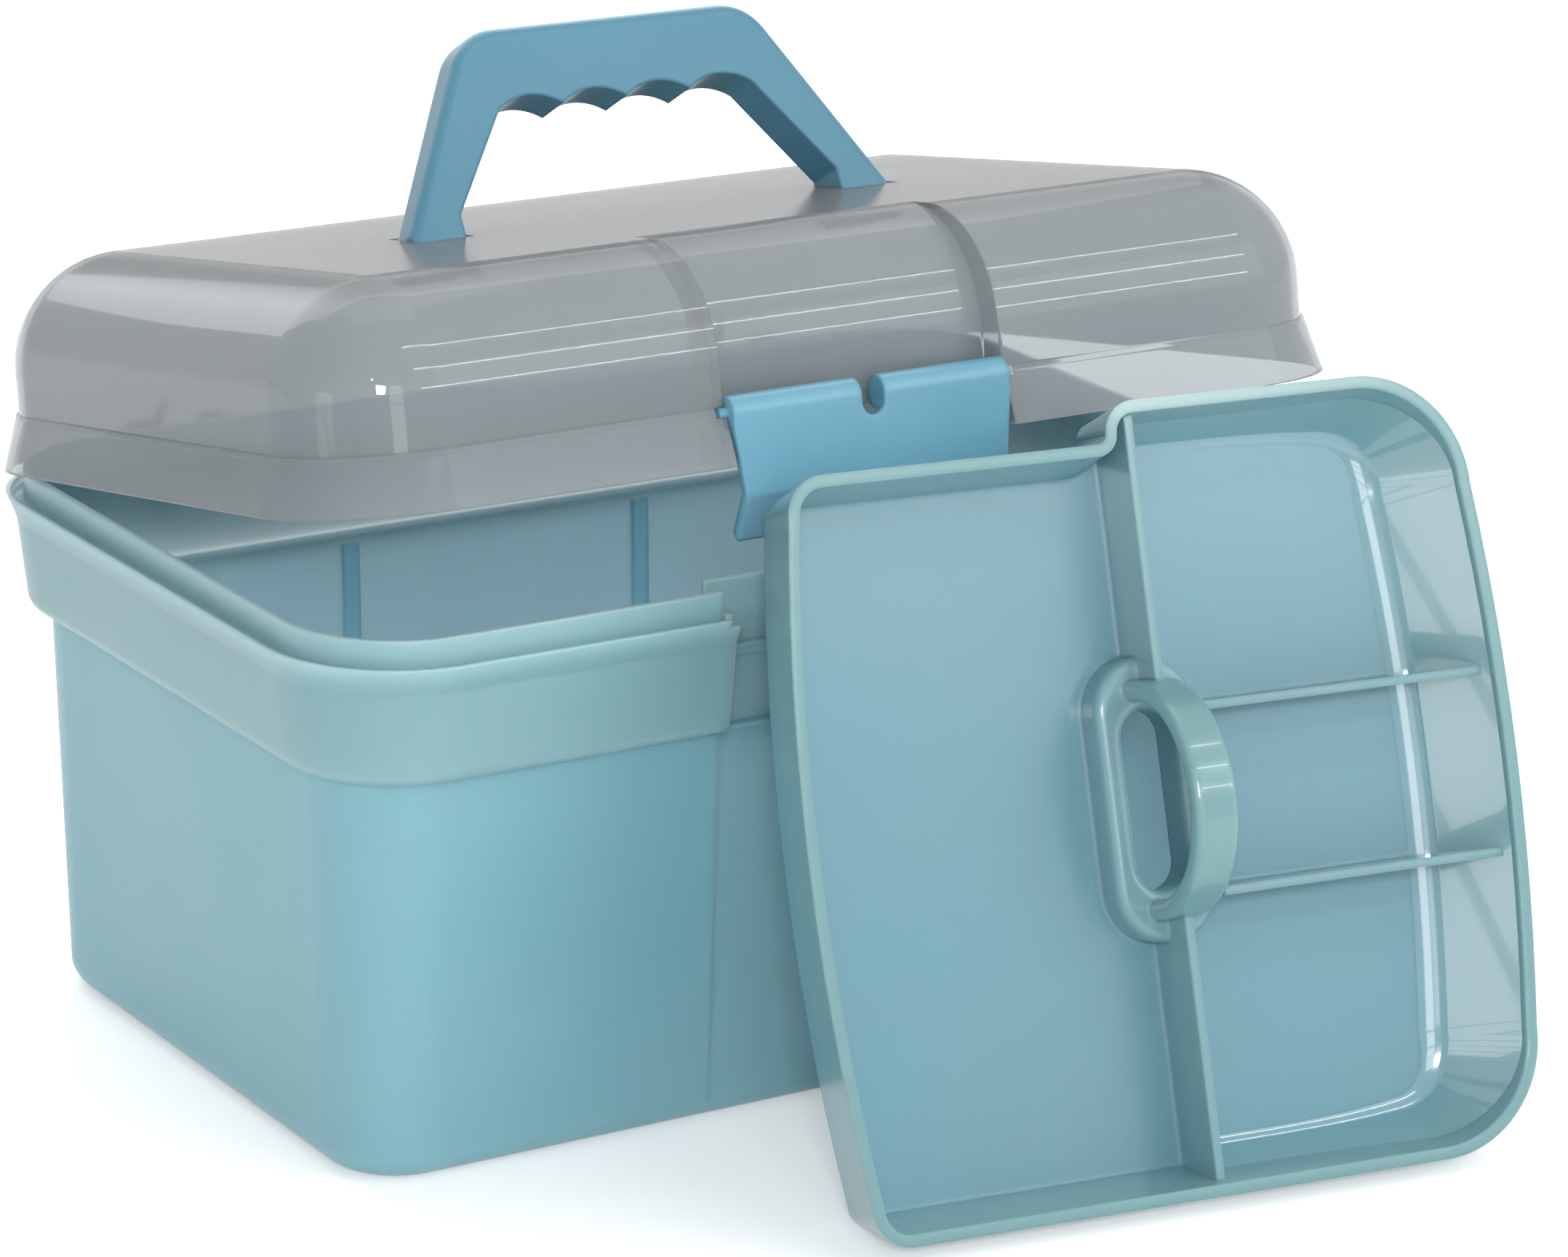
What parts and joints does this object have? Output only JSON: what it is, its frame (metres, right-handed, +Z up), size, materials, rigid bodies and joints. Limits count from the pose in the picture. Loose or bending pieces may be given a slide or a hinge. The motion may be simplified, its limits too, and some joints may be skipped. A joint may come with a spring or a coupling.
{
  "type": "art supply box with lift-out tray",
  "caption": "Translucent blue plastic art supply box with a domed clear lid, carry handle, front latch and a divided lift-out tray.",
  "frame": {"origin": "centre of the tub's underside, on the floor", "axes": "+X along the front to the right, -Y out of the front where the latch is, +Z up"},
  "size_m": [0.31, 0.3314, 0.26],
  "materials": {
    "tub_plastic": "translucent light blue, satin gloss",
    "lid_plastic": "frosted clear, gloss",
    "handle_plastic": "solid mid blue, satin",
    "tray_plastic": "translucent light blue, gloss",
    "pin_steel": "plain wire"
  },
  "bodies": {
    "tub": {"tub": "tub_plastic", "hinge_pins": "pin_steel"},
    "lid": {"lid": "lid_plastic"},
    "carry_handle": {"carry_handle": "handle_plastic"},
    "latch": {"latch": "handle_plastic"},
    "tray": {"tray": "tray_plastic"}
  },
  "joints": [
    {"name": "lid_hinge", "type": "hinge", "parent": "tub", "child": "lid", "pos_m": [0, 0.1125, 0.14], "axis": [-1, 0, 0], "range_deg": [-10, 95]},
    {"name": "handle_swing", "type": "hinge", "parent": "lid", "child": "carry_handle", "pos_m": [0, 0.01027, 0.20809], "axis": [1, 0, 0], "range_deg": [0, 40]},
    {"name": "latch_swing", "type": "hinge", "parent": "lid", "child": "latch", "pos_m": [0, -0.09611, 0.18927], "axis": [-1, 0, 0], "range_deg": [-5.5, 10]},
    {"name": "tray_lift", "type": "slide", "parent": "tub", "child": "tray", "axis": [0, 0, 1], "range_m": [0, 0.2]}
  ]
}
